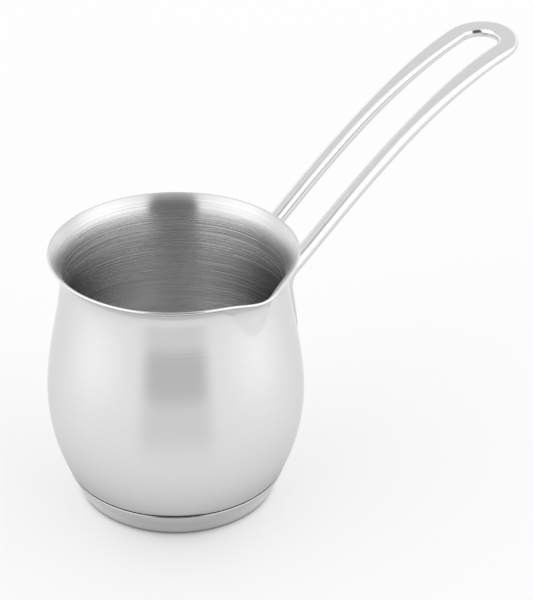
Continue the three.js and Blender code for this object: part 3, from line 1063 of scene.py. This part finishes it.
class COFFEE_OT_disc(bpy.types.Operator):
    """Make the aluminium disc that spreads the heat"""

    bl_idname = "coffee.disc"
    bl_label = "Heat Disc"

    def execute(self, context):
        """The outline of a disc that follows the cap's inside and has a rounded top edge."""
        vessel, sizes = context.scene.coffee_vessel, context.scene.coffee_base
        inset = sizes.cap_wall + sizes.disc_clearance
        side = cap_radius(vessel, sizes, inset, sizes.cap_corner)
        edge_height = vessel.bottom - sizes.disc_edge
        edge = cap_radius(vessel, sizes, inset + sizes.disc_edge, edge_height)
        rim = arc((edge, edge_height), sizes.disc_edge, -sizes.cap_taper, QUARTER, FINE_EDGE_POINTS)
        foot = (side - sizes.cap_corner + sizes.cap_wall, sizes.cap_wall)
        under = np.linspace((0, sizes.cap_wall), foot, DISC_FACE_POINTS)
        corner = np.linspace(foot, (side, sizes.cap_corner), DISC_CORNER_POINTS)
        flank = np.linspace(corner[-1], rim[0], DISC_SIDE_POINTS)
        face = np.linspace(rim[-1], (0, vessel.bottom), DISC_FACE_POINTS)
        mesh = turned_skin("heat_disc", chain(under, corner, flank, rim, face), DISC_SIDES)
        place(mesh, disc_aluminium(context.scene.coffee_finish.disc), ["heat_spreader"])
        return {"FINISHED"}


class COFFEE_OT_handle(bpy.types.Operator):
    """Make the handle, one rod bent into two legs and a loop"""

    bl_idname = "coffee.handle"
    bl_label = "Handle"

    def execute(self, context):
        """The rod's section is carried up the left leg, round the loop and down the right leg."""
        handle = context.scene.coffee_handle
        centres, *sections = handle_path(context.scene.coffee_vessel, handle)
        rings = rod_rings(handle, centres, *sections)
        mesh = closed_skin("loop_handle", rings, rings[[0, -1]].mean(axis=1), lengths(centres))
        place(mesh, polished_steel(context.scene.coffee_finish.polished), ["handle"])
        return {"FINISHED"}


class COFFEE_OT_welds(bpy.types.Operator):
    """Make the spot welds between the feet and the wall"""

    bl_idname = "coffee.welds"
    bl_label = "Spot Welds"

    def execute(self, context):
        """Each weld is a round pad with an eased rim, turned about its axis and set square to the wall."""
        vessel, handle = context.scene.coffee_vessel, context.scene.coffee_handle
        finish = weld_steel(context.scene.coffee_finish.weld)
        half = handle.weld_thickness / 2
        rim = arc((handle.weld_radius - half, 0), half, -QUARTER, QUARTER, FINE_EDGE_POINTS)
        under = np.linspace((0, -half), rim[0], WELD_FACE_POINTS)
        over = np.linspace(rim[-1], (0, half), WELD_FACE_POINTS)
        profile = chain(under, rim, over)
        pad = turned(profile[1:-1], WELD_SIDES)
        along = lengths(profile)[1:-1]
        inset = handle.weld_inset
        heights = {"lower": handle.foot_tip + inset, "upper": handle.foot_top - inset}
        for level, height in heights.items():
            below, above = wall_radius(vessel, np.array((height - MM, height + MM)))
            lean = math.atan2(above - below, 2 * MM)
            reach = wall_radius(vessel, height) + handle.standoff / 2
            for side, hand in (("left", -1), ("right", 1)):
                turn = hand * foot_turn(vessel, handle, height)
                ahead = np.array((math.cos(turn), math.sin(turn), 0))
                aside = np.array((-math.sin(turn), math.cos(turn), 0))
                out = ahead * math.cos(lean) - UP * math.sin(lean)
                axes = np.stack((aside, np.cross(out, aside), out))
                middle = ahead * reach + UP * height
                ends = np.outer((-half, half), out) + middle
                mesh = closed_skin(f"weld_{side}_{level}", pad @ axes + middle, ends, along)
                place(mesh, finish, [f"spot_weld_{side}_{level}"])
        return {"FINISHED"}


class COFFEE_OT_stage(bpy.types.Operator):
    """Set the floor, the studio light and the camera"""

    bl_idname = "coffee.stage"
    bl_label = "Stage"

    def execute(self, context):
        """Lays out the floor and the painted mirrored table, and sets the light, the camera and plain
        colours.
        """
        stage = context.scene.coffee_stage
        self.set_floor(context, stage)
        self.set_painted_table(stage)
        self.set_light(context, stage)
        self.set_camera(context, stage)
        context.scene.view_settings.view_transform = "Standard"
        return {"FINISHED"}

    def set_floor(self, context, stage):
        """A round floor: rings of points from the middle out, lit from below, with a painted shadow round the
        pot.
        """
        turn, aside = stage_turns(stage)
        radius = stage_radii(FLOOR_START, stage.floor_radius, FLOOR_FAR_POINTS)
        points, quads = level_rings(radius, turn, 0)
        here = np.arange(STAGE_SIDES)
        fan = np.stack((np.full(STAGE_SIDES, len(points)), here, (here + 1) % STAGE_SIDES), axis=-1)
        # The floor's glow, less the painted shadow round the pot
        glow = np.append(floor_glow_less_painted_shadow(stage, radius[:, None], aside), 0)
        finish = light_table(context.scene.coffee_finish.floor)
        points = [*points.tolist(), (0, 0, 0)]
        floor = lay_out("floor", points, quads.tolist() + fan.tolist(), glow, finish)

    def set_painted_table(self, stage):
        """Painted floor light and shade that the pot mirrors: rings from the foot out, seen only in
        reflections.
        """
        turn, aside = stage_turns(stage)
        radius = stage_radii(TABLE_START, stage.table_end, TABLE_FAR_POINTS)
        points, quads = level_rings(radius, turn, TABLE_HEIGHT)
        # Painted light and shade of the floor, which the pot shows only in its reflections
        glow = painted_table_light(stage, radius[:, None], aside)
        table = lay_out("painted_table_reflection", points.tolist(), quads.tolist(), glow, plain_glow())
        table.visible_camera = False
        table.visible_diffuse = False
        table.visible_shadow = False

    def set_light(self, context, stage):
        """A white studio all round: bright to the left and right, dark behind the camera, greyer overhead.

        A level is read off the angle from the camera, low down and high up, and the rise of a direction mixes
        the two and then the ceiling.
        """
        world = bpy.data.worlds.new("studio")
        context.scene.world = world
        world.use_nodes = True
        tree = world.node_tree
        tree.nodes.clear()
        way = add_node(tree, "ShaderNodeTexCoord").outputs["Generated"]
        inputs = {"Vector": way, "Angle": stage.plan_turn}
        plan = add_node(tree, "ShaderNodeVectorRotate", inputs, rotation_type="Z_AXIS").outputs["Vector"]
        right, ahead, rise = add_node(tree, "ShaderNodeSeparateXYZ", {"Vector": plan}).outputs
        turn = worked_out(tree, "ARCTAN2", right, worked_out(tree, "MULTIPLY", ahead, -1.0))
        half_turns = worked_out(tree, "DIVIDE", worked_out(tree, "ABSOLUTE", turn), math.pi)
        low, high = (
            grey_ramp(tree, half_turns, (*STUDIO_STOPS, (STUDIO_BACK_START, back), (1.0, back)))
            for back in (STUDIO_LOW_BACK, STUDIO_HIGH_BACK)
        )
        sky = low
        for level, (start, end) in ((high, STUDIO_HIGH_RISE), (grey(STUDIO_CEILING), STUDIO_CEILING_RISE)):
            sky = mixed(tree, mapped(tree, rise, start=start, end=end), sky, level)
        glow = add_node(tree, "ShaderNodeBackground", {"Color": sky, "Strength": STUDIO_STRENGTH})
        add_node(tree, "ShaderNodeOutputWorld", {"Surface": glow.outputs["Background"]})

    def set_camera(self, context, stage):
        """A camera at the photograph's place.

        Its forward direction comes from its yaw and pitch in the turned plan. Its right and down directions
        are square to that, and turned about it by the roll.
        """
        turn = stage.plan_turn
        plan = np.array(((math.cos(turn), math.sin(turn), 0), (-math.sin(turn), math.cos(turn), 0), UP))
        level_part, drop = math.cos(stage.pitch), math.sin(stage.pitch)
        forward = np.array((math.sin(stage.yaw) * level_part, math.cos(stage.yaw) * level_part, -drop))
        level = np.cross(forward, UP)
        level /= np.linalg.norm(level)
        sheer = np.cross(forward, level)
        right = math.cos(stage.roll) * level + math.sin(stage.roll) * sheer
        down = math.cos(stage.roll) * sheer - math.sin(stage.roll) * level
        spot = plan @ np.array((0, -stage.distance, stage.height))
        columns = np.column_stack((plan @ right, -(plan @ down), -(plan @ forward), spot))
        data = bpy.data.cameras.new("photo_camera")
        data.sensor_width = SENSOR_WIDTH
        data.lens = stage.focal_pixels / IMAGE_HEIGHT * SENSOR_WIDTH
        data.clip_start = CLIP_START
        camera = add_object("photo_camera", data)
        camera.matrix_world = Matrix(np.vstack((columns, (0, 0, 0, 1))).tolist())
        context.scene.camera = camera


class COFFEE_PT_panel(bpy.types.Panel):
    """The pieces of the coffee pot"""

    bl_idname = "COFFEE_PT_panel"
    bl_label = "Coffee Pot"
    bl_space_type = "VIEW_3D"
    bl_region_type = "UI"
    bl_category = "Coffee Pot"

    def draw(self, context):
        """Lists each group of sizes, and a button for each piece."""
        for name in GROUPS:
            group = getattr(context.scene, name)
            box = self.layout.box()
            for entry in group.bl_rna.properties:
                if entry.identifier not in {"rna_type", "name"}:
                    box.prop(group, entry.identifier)
        for operator in OPERATORS:
            self.layout.operator(operator.bl_idname)


OPERATORS = (
    COFFEE_OT_vessel,
    COFFEE_OT_base_cap,
    COFFEE_OT_disc,
    COFFEE_OT_handle,
    COFFEE_OT_welds,
    COFFEE_OT_stage,
)
CLASSES = (*GROUPS.values(), *OPERATORS, COFFEE_PT_panel)


def register():
    """Registers the classes and hangs the sizes on the scene."""
    for entry in CLASSES:
        bpy.utils.register_class(entry)
    for name, group in GROUPS.items():
        setattr(bpy.types.Scene, name, PointerProperty(type=group))


def unregister():
    """Takes the sizes off the scene and unregisters the classes."""
    for name in GROUPS:
        delattr(bpy.types.Scene, name)
    for entry in reversed(CLASSES):
        bpy.utils.unregister_class(entry)


def main():
    """Makes every piece and the stage."""
    register()
    bpy.ops.coffee.stage()
    bpy.ops.coffee.vessel()
    bpy.ops.coffee.base_cap()
    bpy.ops.coffee.disc()
    bpy.ops.coffee.handle()
    bpy.ops.coffee.welds()


if __name__ == "__main__":
    main()
